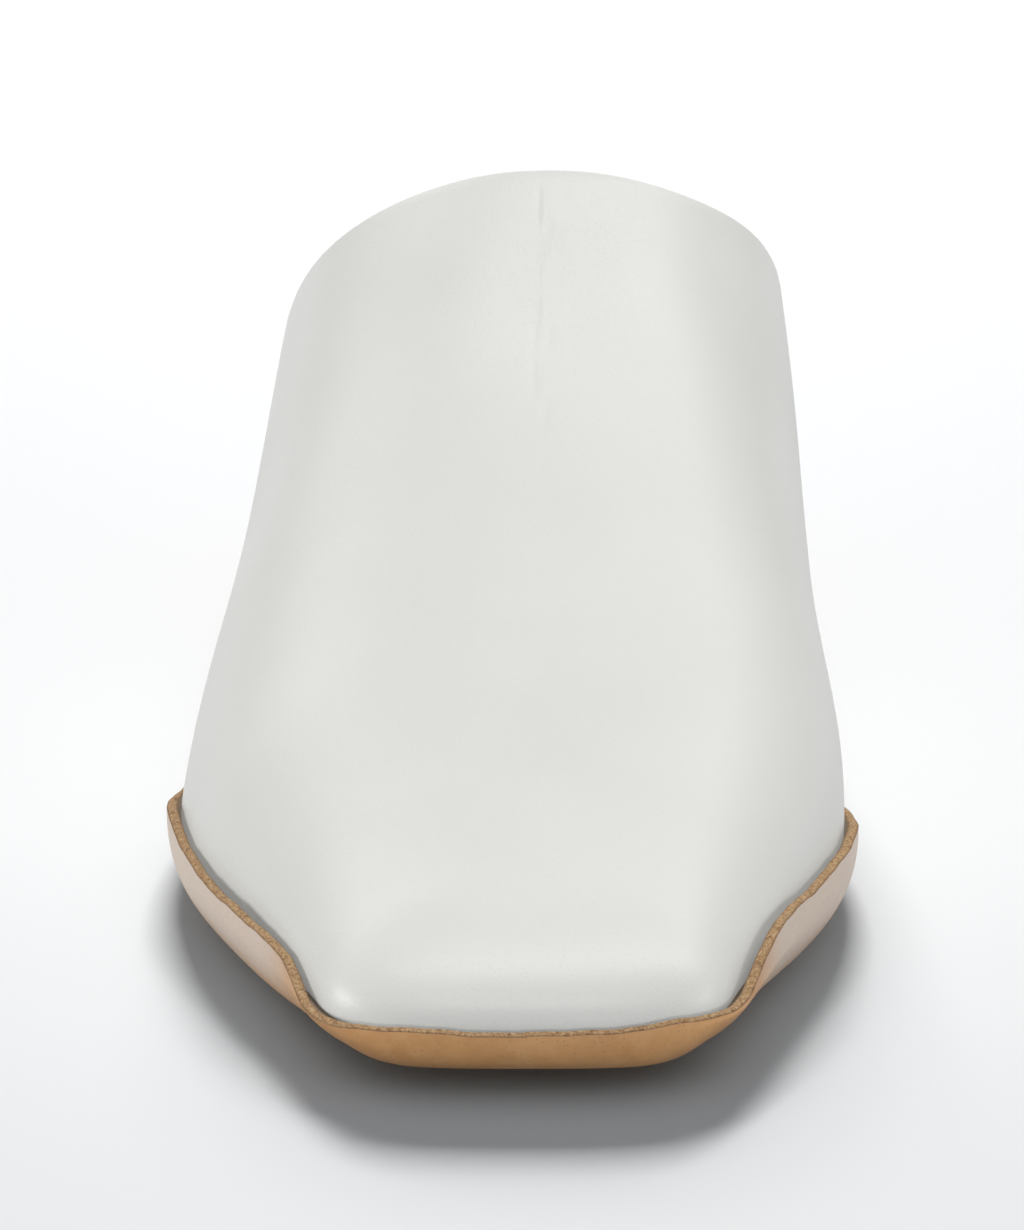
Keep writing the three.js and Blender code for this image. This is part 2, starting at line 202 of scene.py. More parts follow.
class Outline:
    """Half of the foot's outline, from the toe's middle to the heel's, with its outward normal in plan.

    x runs from the centre line to the half width as (1 - (1 - share)^p)^(1/p) goes from 0 at the tips to 1
    between the corners. Rows are spaced by length plus TURN per radian, so that they crowd round the
    corners, and `rows` says how many lie between one mark and the next.
    """

    def __init__(self, side, rows, marks=None):
        first, last = BODY_BACK, LENGTH - BODY_BACK
        s = lerp(first, last, (1 - np.cos(np.pi * np.linspace(0, 1, FINE))) / 2)
        toe = np.clip((s - first) / TOE_ROUND, 0, 1)
        heel = np.clip((last - s) / HEEL_ROUND, 0, 1)
        rounded = lambda share, power: (1 - (1 - share) ** power) ** (1 / power)
        share = rounded(toe, TOE_POWER) * rounded(heel, HEEL_POWER)
        x = lerp(centre(s), side * side_of(plan, "", side)(s), share)
        turn = np.zeros_like(s)
        turn[1:-1] = np.arctan2(s[2:] - s[:-2], side * (x[2:] - x[:-2]))
        turn[-1] = np.pi
        step = np.hypot(np.diff(x), np.diff(s))
        run = np.concatenate([[0], np.cumsum(step)])
        cost = np.concatenate([[0], np.cumsum(step + TURN * np.abs(np.diff(turn)))])
        ends = np.interp(marks or [first, SIDE_END, last], s, cost)
        pieces = [np.linspace(a, b, n + 1)[:-1] for a, b, n in zip(ends, ends[1:], rows)]
        at = np.concatenate([*pieces, ends[-1:]])
        pick = lambda values: np.interp(at, cost, values)[:, None]
        self.side, self.x, self.s, self.run = side, pick(x), pick(s), pick(run)
        angle = pick(turn)
        self.nx, self.ns = side * np.sin(angle), -np.cos(angle)
        strength, fades = CORNERS[side]
        self.corner = strength * smooth(*CORNER_START, self.run) * (1 - smooth(CORNER_FADE, fades, self.run))
        self.power = 2 / lerp(LOWER_POWER, CORNER_POWER, self.corner)


def lower_wall(o, angle, out, up):
    """The section below the widest level: in by (tuck + out)(1 - cos^p) and down by depth times sin^p.

    The layer lies `out` outside the upper and `up` above the sole's underside. Above the widest level,
    where the angle is negative, it stands upright.
    """
    widest = level.widest(o.s)
    tuck = level.tuck(o.s) + CORNER_TUCK * o.corner
    c = np.maximum(np.cos(np.maximum(angle, 0)), 0) ** o.power
    inset = (tuck + out) * c - tuck
    s = o.s + o.ns * inset
    depth = widest - bottom(s) - np.where(angle < 0, 0, up)
    z = widest - depth * np.sign(angle) * np.abs(np.sin(angle)) ** o.power
    return np.stack([o.x + o.nx * inset, s, z], -1)


def low_angles(o):
    """Angles of the vamp's columns below the widest level, the same in every row of the outline."""
    return UPPER_LOW * np.linspace(0, 1, LOW + 1)[None, 1:] + 0 * o.x


def bottom_layer(outlines, edge, wall, flat, out, up, stand=None, crowd=1.0):
    """A layer across the shoe's bottom: down one wall from its edge, straight to the spine, up the other.

    `edge` gives the angle at which the wall begins, `stand` how far its edge stands off, and `crowd` above
    1 crowds the wall's columns towards its edge. The spine runs from RIDGE_START to SPINE_END, rounded into
    both.
    """
    middle = (outlines[0].s + outlines[1].s) / 2
    spine = SPINE_END - soften(SPINE_END - RIDGE_START - soften(middle - RIDGE_START))
    halves = []
    for o in outlines:
        start = edge(o)
        angle = lerp(start, np.pi / 2, np.linspace(0, 1, wall + 1)[None, :] ** crowd)
        points = lower_wall(o, angle, out, up)
        if stand:
            off = stand(o) * np.clip(1 - angle / STAND_REACH, 0, 1) ** 2
            points[..., 0] += o.nx * off
            points[..., 1] += o.ns * off
        t = np.linspace(0, 1, flat + 1)[None, 1:]
        s = lerp(points[:, -1:, 1], spine, t)
        x = lerp(points[:, -1:, 0], centre(spine), t)
        halves.append(np.concatenate([points, np.stack([x, s, bottom(s) + up], -1)], 1))
    return np.concatenate([halves[0], halves[1][:, -2::-1]], 1)


def rim_rise(o):
    """Height of the raw rim over the widest level: the chart's column, the spline through WAVE and the sum
    of the sines in KNIFE, which fades out at the toe's middle and at the heel."""
    wave = spline(*zip(*WAVE[o.side]))(o.run)
    knife = sum(a * np.sin(o.run / length + phase + o.side) for a, length, phase in KNIFE)
    fade = smooth(0, 6, o.run) * (1 - smooth(190, 215, o.s))
    return side_of(rim, "rise", o.side)(o.s) + wave + knife * fade


def rim_edge(o):
    """The angle at which the wall reaches the rim's height: minus arcsin of (rise / depth)^(p/2)."""
    rise = rim_rise(o)
    share = np.abs(rise) / (level.widest(o.s) - bottom(o.s))
    return -np.sign(rise) * np.arcsin(np.minimum(share, 1) ** (1 / o.power))


def rim_stand(o):
    """How far the rim stands off: the chart's column and, round the ball, 0.18 times 1 + sin(run / 9)."""
    ball = smooth(20, 45, o.s) * (1 - smooth(80, 105, o.s))
    return side_of(rim, "stand", o.side)(o.s) + 0.18 * ball * (1 + np.sin(o.run / 9))


def ribs(outlines):
    """The upper's outer surface: ribs from the lateral lower edge over the ridge to the medial lower edge.

    On a rib, v goes from 0 on the ridge to 1 at the widest level: across = sin^(2/full), up =
    cos^(2/square). Ribs run straight to the outline round the toe, and behind it they sweep back down the
    sides as v^SWEEP_POWER.
    """
    ridge = soften((outlines[0].s + outlines[1].s) / 2 - RIDGE_START)
    ridge = lerp(RIDGE_START, THROAT, (ridge - ridge[0]) / (ridge[-1] - ridge[0]))
    v = np.linspace(0, 1, TOP + 1)[None, :] ** RIDGE_CROWD
    turn = v * np.pi / 2
    halves = []
    for o in outlines:
        full, square, swell = (side_of(form, name, o.side) for name in ("full", "square", "swell"))
        back = smooth(*SWEEP, o.s)
        reach = lerp(np.sin(turn) ** (2 / full(o.s)), v**SWEEP_POWER, back)
        s = lerp(ridge, o.s, reach)
        section = lerp(o.s, s, back)
        across = np.sin(turn) ** (2 / full(section))
        up = np.maximum(np.cos(turn), 0) ** (2 / square(section))
        half = lerp(o.x, o.side * side_of(plan, "", o.side)(section), back)
        lean = form.lean(section) if o.side < 0 else 0
        middle = crest.x(s)
        x = middle + (half - middle) * across * (1 - lean * up)
        x += o.side * swell(section) * across * np.sin(np.pi * up)
        widest = level.widest(section)
        above = np.stack([x, s, lerp(widest, crest.z(s), up)], -1)
        halves.append(np.concatenate([above, lower_wall(o, low_angles(o), 0, SOLE_T + GAP)], 1))
    return np.concatenate([halves[0][:, :0:-1], halves[1]], 1)


def normals_of(grid):
    """Unit normals of a grid: the cross product of its two directions, shared along its folded first row."""
    n = np.cross(np.gradient(grid, axis=1), np.gradient(grid, axis=0))
    n[0] += n[0, ::-1]
    return n / np.maximum(np.linalg.norm(n, axis=-1, keepdims=True), 1e-9)


def crease_depth(points):
    """How deep the fine creases press the leather in: for each, depth times e^-(distance / width)^2.

    t goes from 0 at one end of a crease to 1 at the other, and the crease fades at both.
    """
    p = points[..., None, :2]
    a, b = CREASES[:, [1, 0]], CREASES[:, [3, 2]]
    width, depth = CREASES[:, 4], CREASES[:, 5]
    along = b - a
    t = ((p - a) * along).sum(-1) / (along**2).sum(-1)
    off = np.linalg.norm(p - (a + np.clip(t, 0, 1)[..., None] * along), axis=-1)
    body = smooth(0, 0.35, t + 0.1) * smooth(0, 0.35, 1.1 - t)
    return (depth * body * np.exp(-((off / width) ** 2))).sum(-1)


def unevenness(points):
    """The slight waviness of drawn leather: a sum of slow sines, a tenth of a millimetre or two."""
    x, s = points[..., 0], points[..., 1]
    wide = 0.10 * np.sin(s / 11 + x / 17) + 0.08 * np.sin(s / 7.3 - x / 9.1 + 1.3)
    return wide + 0.05 * np.sin(x / 5.2 + s / 23)


def quads(rows, columns, around=False, start=0):
    """The faces of a grid of points numbered row by row; `around` joins its last column to its first."""
    i, j = np.meshgrid(np.arange(rows - 1), np.arange(columns if around else columns - 1), indexing="ij")
    k = (j + 1) % columns
    faces = np.stack([i * columns + j, i * columns + k, (i + 1) * columns + k, (i + 1) * columns + j], -1)
    return faces.reshape(-1, 4) + start


def build(name, points, faces, finishes, kinds=None, fields=None, sharp=40.0):
    """Makes a closed piece from points in millimetres: welded, facing outward, smooth but for sharp edges.

    `kinds` says which finish each face takes, and `fields` are numbers kept on the points for the finishes
    to read.
    """
    place = np.asarray(points, float).reshape(-1, 3)
    place = (place - [SHIFT_X, LENGTH / 2 + SHIFT_Y, 0]) * MM
    mesh = bpy.data.meshes.new(name)
    mesh.from_pydata(place.tolist(), [], np.asarray(faces).tolist())
    if kinds is not None:
        mesh.polygons.foreach_set("material_index", np.asarray(kinds, np.int32))
    for field, values in (fields or {}).items():
        kept = mesh.attributes.new(field, "FLOAT", "POINT")
        kept.data.foreach_set("value", np.asarray(values, np.float32).ravel())
    work = bmesh.new()
    work.from_mesh(mesh)
    bmesh.ops.remove_doubles(work, verts=work.verts, dist=WELD)
    bmesh.ops.recalc_face_normals(work, faces=work.faces)
    work.to_mesh(mesh)
    work.free()
    mesh.polygons.foreach_set("use_smooth", np.ones(len(mesh.polygons), bool))
    mesh.set_sharp_from_angle(angle=math.radians(sharp))
    piece = bpy.data.objects.new(name, mesh)
    for finish in finishes:
        mesh.materials.append(finish)
    bpy.context.scene.collection.objects.link(piece)
    return piece


def sleeve(outer, inner, bulge, turns=6):
    """A leather wall between two grids of one shape, round at its last row and flat at both its sides.

    The round edge has `turns` rows, an even number, on half an ellipse from the outer surface to the inner
    one, out by `bulge` at most. Returns the points and the faces.
    """
    along = outer[-1] - outer[-2]
    along /= np.linalg.norm(along, axis=-1, keepdims=True)
    t = np.linspace(0, np.pi, turns + 2)[1:-1, None, None]
    edge = lerp(outer[-1], inner[-1], (1 - np.cos(t)) / 2) + along * bulge * np.sin(t)
    grid = np.concatenate([outer, edge, inner[::-1]])
    rows, columns = grid.shape[:2]
    near = np.arange(rows // 2 - 1)
    far = rows - 1 - near
    corners = np.stack([near, near + 1, far - 1, far], -1) * columns
    sides = [corners + column for column in (0, columns - 1)]
    return grid, np.concatenate([quads(rows, columns), *sides])


def wrap(outer, inner, crown, turns=4):
    """A closed layer between two grids folded at both ends, with a slightly crowned cut edge at its sides.

    The edge rises by crown times 1 - (2t - 1)^2 as t goes through it. Returns the points, the faces, which
    part each face is (0 outer, 1 cut edge, 2 inner) and each point's t.
    """
    t = np.linspace(0, 1, turns + 2)[1:-1]
    lift = crown * (1 - (2 * t - 1) ** 2)[None, :, None] * np.array([0, 0, 1.0])
    medial = lerp(outer[:, -1:], inner[:, -1:], t[None, :, None]) + lift
    lateral = lerp(inner[:, :1], outer[:, :1], t[None, :, None]) + lift
    grid = np.concatenate([outer, medial, inner[:, ::-1], lateral], 1)
    rows, columns = grid.shape[:2]
    faces = quads(rows, columns, around=True)
    count = outer.shape[1]
    part = np.full(columns, 1)
    part[: count - 1] = 0
    part[count + turns : 2 * count + turns - 1] = 2
    kinds = np.tile(part, rows - 1)
    through = np.concatenate([np.zeros(count), t, np.ones(count), t[::-1]])
    return grid, faces, kinds, np.tile(through, rows)


def shifted(grid, amount):
    """The grid with its last row drawn back by `amount` rows in each column, and the others in proportion."""
    last = len(grid) - 1
    at = np.arange(last + 1)[:, None] * (last - amount[None, :]) / last
    low = np.minimum(np.floor(at).astype(int), last - 1)
    take = lambda k: np.take_along_axis(grid, k[..., None], 0)
    return lerp(take(low), take(low + 1), (at - low)[..., None])


# ---------------------------------------------------------------- the sole
WHOLE = [Outline(side, (170, 60)) for side in (-1, 1)]
COLLAR = [Outline(side, (150,), [BODY_BACK, SIDE_END]) for side in (-1, 1)]

sole_shape = dict(edge=rim_edge, wall=28, flat=12, stand=rim_stand, crowd=1.5)
sole_outer = bottom_layer(WHOLE, out=RIM_T + GAP, up=0, **sole_shape)
sole_inner = bottom_layer(WHOLE, out=GAP, up=SOLE_T, **sole_shape)

# How far the chart's sole is moved to lie on the part's own.
low, high = (np.array(corner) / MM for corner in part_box("outsole"))
SHIFT_X = (sole_outer[..., 0].min() + sole_outer[..., 0].max()) / 2 - (low[0] + high[0]) / 2
SHIFT_Y = (sole_outer[..., 1].min() + sole_outer[..., 1].max() - LENGTH) / 2 - (low[1] + high[1]) / 2


def drawn_in(grid, share, z):
    """The grid drawn to `share` of its size towards the heel's middle and laid flat at height z."""
    x = lerp(centre(SPINE_END), grid[..., 0], share)
    s = lerp(SPINE_END, grid[..., 1], share)
    return np.stack([x, s, np.full(grid.shape[:2], z)], -1)


def heel_body(name, top, floor_z, taper, grooves, finish):
    """A heel layer under the grid `top`: its wall goes straight down to that outline drawn in by `taper`.

    Each groove between two lifts presses it in by GROOVE_DEPTH times e^-((z - groove) / GROOVE_WIDTH)^2,
    and the lower edge is rounded off by FOOT_ROUND times the square of the share left of FOOT_ROUND_HIGH.
    """
    foot = drawn_in(top, taper, floor_z)
    foot_cap = drawn_in(foot, 1 - FOOT_ROUND / HEEL_HALF, floor_z)
    # the points once round the grid's open sides
    ring = lambda g: np.concatenate([g[:, 0], g[-1:, -1], g[-2::-1, -1], g[0, -2:0:-1]])
    wall = lerp(ring(foot), ring(top), np.linspace(0, 1, HEEL_ROWS)[:, None, None] ** HEEL_CROWD)
    out = ring(top) - [centre(SPINE_END), SPINE_END, 0]
    out[:, 2] = 0
    out /= np.linalg.norm(out, axis=-1, keepdims=True)
    z = wall[..., 2:]
    press = sum(GROOVE_DEPTH * np.exp(-(((z - groove) / GROOVE_WIDTH) ** 2)) for groove in grooves)
    press = press + FOOT_ROUND * np.clip(1 - (z - floor_z) / FOOT_ROUND_HIGH, 0, 1) ** 2
    wall = wall - out * press
    wall[0] = ring(foot_cap)
    rows, columns = top.shape[:2]
    count = rows * columns
    faces = np.concatenate([quads(rows, columns), quads(rows, columns, start=count)[:, ::-1],
                            quads(*wall.shape[:2], around=True, start=2 * count)])
    points = np.concatenate([g.reshape(-1, 3) for g in (top, foot_cap, wall)])
    return build(name, points, faces, [finish], sharp=50)


# ---------------------------------------------------------------- finishes
class Term:
    """A number or colour on its way through a finish, so that a sum or product of them is written as one."""

    def __init__(self, bench, socket):
        self.bench, self.socket = bench, socket

    def reckon(self, operation, *values):
        """The result of a Math node on the values."""
        return self.bench.node("Math", {"operation": operation}, dict(enumerate(values)))

    def __add__(self, other):
        return self.reckon("ADD", self, other)

    def __sub__(self, other):
        return self.reckon("SUBTRACT", self, other)

    def __rsub__(self, other):
        return self.reckon("SUBTRACT", other, self)

    def __mul__(self, other):
        return self.reckon("MULTIPLY", self, other)

    def __truediv__(self, other):
        return self.reckon("DIVIDE", self, other)

    def __rtruediv__(self, other):
        return self.reckon("DIVIDE", other, self)

    __radd__, __rmul__ = __add__, __mul__

    def __abs__(self):
        return self.reckon("ABSOLUTE", self)

    def __floor__(self):
        return self.reckon("FLOOR", self)

    def above(self, low, high):
        """0 below low, 1 above high, smooth between."""
        inputs = {"Value": self, "From Min": low, "From Max": high}
        return self.bench.node("MapRange", {"interpolation_type": "SMOOTHSTEP"}, inputs)

    def bell(self, middle, width):
        """e^-((value - middle) / width)^2."""
        off = (self - middle) / width
        return self.reckon("EXPONENT", off * off * -1.0)


class Bench:
    """Where one finish is mixed: a material, its shader and the nodes that feed it."""

    def __init__(self, name, **constants):
        self.finish = bpy.data.materials.new(name)
        self.finish.use_nodes = True
        self.nodes, self.links = self.finish.node_tree.nodes, self.finish.node_tree.links
        self.nodes.clear()
        self.shader = self.nodes.new("ShaderNodeBsdfPrincipled")
        out = self.nodes.new("ShaderNodeOutputMaterial")
        self.links.new(self.shader.outputs[0], out.inputs["Surface"])
        for name, value in constants.items():
            self.shader.inputs[name.replace("_", " ").title().replace("Ior", "IOR")].default_value = value

    def node(self, kind, settings=None, inputs=None, output=0):
        """Adds a node: its settings, then its sockets' values or links. Gives one of its outputs."""
        made = self.nodes.new("ShaderNode" + kind)
        for key, value in (settings or {}).items():
            setattr(made, key, value)
        for key, value in (inputs or {}).items():
            self.feed(made.inputs[key], value)
        return Term(self, made.outputs[output])

    def feed(self, socket, value):
        """Links a term to a socket, or sets the number or colour on it."""
        if isinstance(value, Term):
            self.links.new(value.socket, socket)
        elif isinstance(value, tuple) and len(value) == 3 and socket.type == "RGBA":
            socket.default_value = (*value, 1)
        else:
            socket.default_value = value

    def place(self, scale=(1000, 1000, 1000)):
        """Object coordinates in millimetres, stretched where a finish needs it."""
        where = self.node("TexCoord", output=3)
        return self.node("Mapping", {}, {"Vector": where, "Scale": scale})

    def part(self, where, axis):
        """One coordinate of a place: 0 across the shoe, 1 along it, 2 up."""
        return self.node("SeparateXYZ", {}, {"Vector": where}, output=axis)

    def noise(self, where, size, detail=3.0, rough=0.55):
        """Cloudy noise, 0 to 1, whose lumps are about `size` millimetres."""
        inputs = {"Vector": where, "Scale": 1 / size, "Detail": detail, "Roughness": rough}
        return self.node("TexNoise", {}, inputs)

    def pores(self, where, size, wide):
        """Hair pores about `size` millimetres apart: 0 in their middle, 1 from `wide` of that outwards."""
        return self.node("TexVoronoi", {}, {"Vector": where, "Scale": 1 / size}).above(0.0, wide)

    def kept(self, field):
        """A number kept on the piece's points."""
        return self.node("Attribute", {"attribute_name": field}, output=2)

    def blend(self, mask, a, b):
        """Colour a where the mask is 0 and b where it is 1."""
        return self.node("Mix", {"data_type": "RGBA"}, {0: mask, 6: a, 7: b}, output=2)

    def lay(self, colour, roughness, relief, depth):
        """Feeds the shader and gives the finish; relief is a height in units of `depth` millimetres."""
        self.feed(self.shader.inputs["Base Color"], colour)
        self.feed(self.shader.inputs["Roughness"], roughness)
        bump = self.node("Bump", {}, {"Height": relief, "Distance": depth * MM, "Strength": 1.0})
        self.feed(self.shader.inputs["Normal"], bump)
        return self.finish


def white_calf():
    """Smooth white calf: faint clouds, tight pores, fine lines along the instep, drawn over the last."""
    bench = Bench("white_calf", specular_ior_level=0.5, coat_weight=0.18, coat_roughness=0.38)
    where = bench.place()
    cloud = bench.noise(where, 38, 2)
    fine = bench.noise(where, 2.2, 3)
    pores = bench.pores(where, 0.62, 0.42)
    grain = bench.noise(where, 0.34, 2)
    drawn = bench.noise(bench.place((1000, 210, 210)), 0.9, 4, 0.6)
    instep = bench.part(where, 2).above(52, 84) * bench.part(where, 0).bell(4.5, 9)
    colour = bench.blend(cloud.above(0.35, 0.65), (0.775, 0.775, 0.735), (0.80, 0.80, 0.765))
    colour = bench.blend((1 - pores) * 0.10, colour, (0.66, 0.655, 0.61))
    relief = pores * 0.55 + grain * 0.35 + fine * 0.5 + drawn * instep * 2.6
    return bench.lay(colour, 0.37 + fine * 0.07 + (1 - pores) * 0.05, relief, 0.035)


def tan_sole():
    """Waxed vegetable-tanned leather: warm tan, hair pores, a painted glare paler on the turned-up sides,
    painted shade near black on its underside.
    """
    bench = Bench("tan_sole", specular_ior_level=0.5, coat_weight=0.25, coat_roughness=0.3)
    where = bench.place()
    cloud = bench.noise(where, 16, 4)
    streak = bench.noise(bench.place((1000, 180, 1000)), 2.4, 3)
    pores = bench.pores(where, 0.8, 0.3)
    grain = bench.noise(where, 0.3, 3)
    colour = bench.blend(cloud.above(0.3, 0.7), (0.62, 0.31, 0.115), (0.76, 0.405, 0.165))
    colour = bench.blend(streak.above(0.35, 0.75) * 0.4, colour, (0.80, 0.47, 0.215))
    # painted glare: paler beige on the turned-up sides, where the side lights reflect, read from the field
    # "bend"
    colour = bench.blend(bench.kept("bend") * 0.85, colour, (0.72, 0.62, 0.53))
    colour = bench.blend((1 - pores) * 0.35, colour, (0.30, 0.15, 0.065))
    # painted shade: near black where the sole comes within a third of a millimetre of the floor, standing in
    # for the shade beneath it
    colour = bench.blend(bench.kept("painted_underside_shade") * (0.85 + cloud * 0.15), colour, (0.135, 0.105, 0.085))
    relief = pores * 0.5 + grain * 0.4 + streak * 0.4
    return bench.lay(colour, 0.38 + grain * 0.12 + cloud * 0.08, relief, 0.05)


def cut_edge():
    """The knife-cut edge of the sole: pale fibres with darker specks, darker brown along both corners, partly
    burnishing and partly painted shade of the gap beside the upper.
    """
    bench = Bench("cut_edge", specular_ior_level=0.25)
    where = bench.place()
    fibres = bench.noise(where, 0.42, 5, 0.7)
    specks = bench.noise(where, 0.9, 2)
    corner = abs(bench.kept("through") - 0.5)
    colour = bench.blend(fibres.above(0.35, 0.68), (0.36, 0.20, 0.09), (0.68, 0.47, 0.265))
    colour = bench.blend(specks.above(0.54, 0.68) * 0.6, colour, (0.20, 0.10, 0.045))
    # darker along both corners: burnishing, and on the inner one painted shade of the gap beside the upper
    colour = bench.blend(corner.above(0.30, 0.46) * 0.6, colour, (0.19, 0.10, 0.055))
    return bench.lay(colour, 0.85, fibres, 0.25)


def flesh_side():
    """The sole's flesh side: short, pale, brushed fibres."""
    bench = Bench("flesh_side", specular_ior_level=0.2, sheen_weight=0.3)
    where = bench.place()
    nap = bench.noise(where, 0.5, 5, 0.7)
    colour = bench.blend(nap.above(0.3, 0.7), (0.34, 0.22, 0.125), (0.52, 0.37, 0.235))
    return bench.lay(colour, 0.9, nap, 0.2)


def lining_kid(name, dark, light):
    """Plain kid lining: matte, a little cloudy, with scattered pores."""
    bench = Bench(name, specular_ior_level=0.35)
    where = bench.place()
    cloud = bench.noise(where, 22, 3)
    pores = bench.pores(where, 0.9, 0.26)
    grain = bench.noise(where, 0.4, 3)
    colour = bench.blend(cloud.above(0.3, 0.7), dark, light)
    colour = bench.blend((1 - pores) * 0.35, colour, tuple(0.6 * share for share in dark))
    return bench.lay(colour, 0.58 + grain * 0.12, pores * 0.6 + grain * 0.4, 0.045)


def stacked_leather():
    """Lifts of sole leather seen on edge: each its own brown, with fibres that run round the heel, waxed."""
    bench = Bench("stacked_leather", specular_ior_level=0.45, coat_weight=0.2, coat_roughness=0.35)
    where = bench.place()
    lift = math.floor((bench.part(where, 2) - (TOP_PIECE_T + GAP)) / LIFT)
    tone = bench.node("TexWhiteNoise", {"noise_dimensions": "1D"}, {"W": lift})
    fibres = bench.noise(bench.place((260, 260, 1000)), 0.5, 4, 0.65)
    specks = bench.noise(where, 0.8, 3)
    colour = bench.blend(tone * 0.6 + fibres * 0.4, (0.24, 0.125, 0.055), (0.42, 0.245, 0.12))
    colour = bench.blend(specks.above(0.55, 0.7) * 0.5, colour, (0.13, 0.065, 0.03))
    return bench.lay(colour, 0.46 + fibres * 0.12, fibres, 0.08)


def heel_rubber():
    """Dark brown rubber with a fine matte tooth."""
    bench = Bench("heel_rubber", specular_ior_level=0.35)
    where = bench.place()
    tooth = bench.noise(where, 0.35, 3, 0.6)
    dust = bench.noise(where, 9, 3)
    colour = bench.blend(dust.above(0.35, 0.7), (0.052, 0.035, 0.025), (0.078, 0.056, 0.042))
    return bench.lay(colour, 0.7 + tooth * 0.15, tooth, 0.06)


# ---------------------------------------------------------------- the pieces
# The sole. Kept on its points: the way through its cut edge, its turned-up sides, which take a painted glare,
# and where it meets the floor, which takes a painted shade.
points, faces, kinds, through = wrap(sole_outer, sole_inner, crown=0.4)
along, over = points[..., 1], points[..., 2] - bottom(points[..., 1])
# the mask of the painted glare: the turned-up sides behind the toe, weaker towards the heel
bend = smooth(1.5, 7.5, over) * smooth(14, 34, along) * (1 - 0.5 * smooth(110, 160, along))
# the last field marks the painted shade where the sole meets the floor
fields = {"through": through, "bend": bend, "painted_underside_shade": 1 - smooth(0.02, 0.35, over)}
sole = build("sole", points, faces, [tan_sole(), cut_edge(), flesh_side()], kinds, fields)
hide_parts("outsole")

# The vamp's outer surface, uneven and creased where it is clear of the rim, and the way from its topline.
outer = ribs(COLLAR)
normal = normals_of(outer)
clear = smooth(14, 30, outer[..., 2] - bottom(outer[..., 1]))
outer = outer + normal * (clear * (unevenness(outer) - crease_depth(outer)))[..., None]
steps = np.linalg.norm(np.diff(outer, axis=0), axis=-1)
from_topline = np.concatenate([np.cumsum(steps[::-1], axis=0)[::-1], np.zeros((1, outer.shape[1]))])


def inside(depth):
    """The surface `depth` inside the outer one, kept concentric with the sole below the widest level."""
    grid = outer - normal * depth[..., None]
    lateral, medial = COLLAR
    down, up = slice(None), slice(None, None, -1)
    for o, columns, order in ((lateral, slice(0, LOW), up), (medial, slice(-LOW, None), down)):
        deep = depth[:, columns][:, order]
        grid[:, columns] = lower_wall(o, low_angles(o), -deep, SOLE_T + GAP + deep)[:, order]
    return grid


# The vamp: outer leather, folded over its topline.
fold = 1 - smooth(*FOLD_STEP, from_topline)
points, faces = sleeve(outer, inside(lerp(LEATHER, WALL, fold)), bulge=0.7)
vamp = build("vamp", points, faces, [white_calf()])
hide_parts("upper")

# Its lining, which stays back behind the fold by as many rows.
back = FOLD / steps[-3]
lining_out, lining_in = (shifted(inside(np.full(outer.shape[:2], LEATHER + LINING_GAP + thick)), back)
                         for thick in (0, LINING_T))
points, faces = sleeve(lining_out, lining_in, bulge=0.15, turns=4)
kid = lining_kid("lining_kid", (0.56, 0.46, 0.35), (0.64, 0.54, 0.425))
lining = build("vamp_lining", points, faces, [kid])


def sock_edge(o):
    """The insole's edge angle: under the upper, then spread out behind the collar."""
    return lerp(INSOLE_EDGE, INSOLE_SEAT, smooth(SIDE_END + 1, BREAST + 4, o.s))


# The insole and its sock.
under = SOLE_T + GAP
sock_low, sock_high = (bottom_layer(WHOLE, sock_edge, 10, 14, -thick, under + thick)
                       for thick in (0, INSOLE_T))
points, faces, _, _ = wrap(sock_low, sock_high, crown=0.2)
kid = lining_kid("sock_kid", (0.50, 0.385, 0.27), (0.575, 0.455, 0.33))
sock = build("insole_sock", points, faces, [kid])
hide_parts("insole")

# The heel: a stack of lifts and its rubber top piece.
HEEL = [Outline(side, (60,), [BREAST, LENGTH - BODY_BACK]) for side in (-1, 1)]
heel_top = bottom_layer(HEEL, lambda o: HEEL_EDGE + 0 * o.s, 8, 10, RIM_T + 2 * GAP, -GAP)
stack_foot = TOP_PIECE_T + GAP
grooves = [stack_foot + k * LIFT for k in (1, 2, 3)]
stack = heel_body("heel_stack", heel_top, stack_foot, HEEL_TAPER, grooves, stacked_leather())
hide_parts("heel")
rubber_top = drawn_in(heel_top, HEEL_TAPER, TOP_PIECE_T)
rubber = heel_body("heel_top_piece_rubber", rubber_top, 0.0, 1.0, [], heel_rubber())
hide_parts("heel_top_piece")

SHOE = (sole, vamp, lining, sock, stack, rubber)
for piece in SHOE:
    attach(piece, "root")


# ---------------------------------------------------------------- floor, light and camera
# In metres: the sweep's front, the start and radius of its curl, the wall's height, half the width.
FLOOR_FRONT, CURL, CURL_ROUND, WALL_HIGH, FLOOR_HALF = -4.0, 3.2, 1.5, 3.0, 5.0
FLAT_SHARE, CURL_SHARE, FLOOR_ROWS = 0.6, 0.85, 60


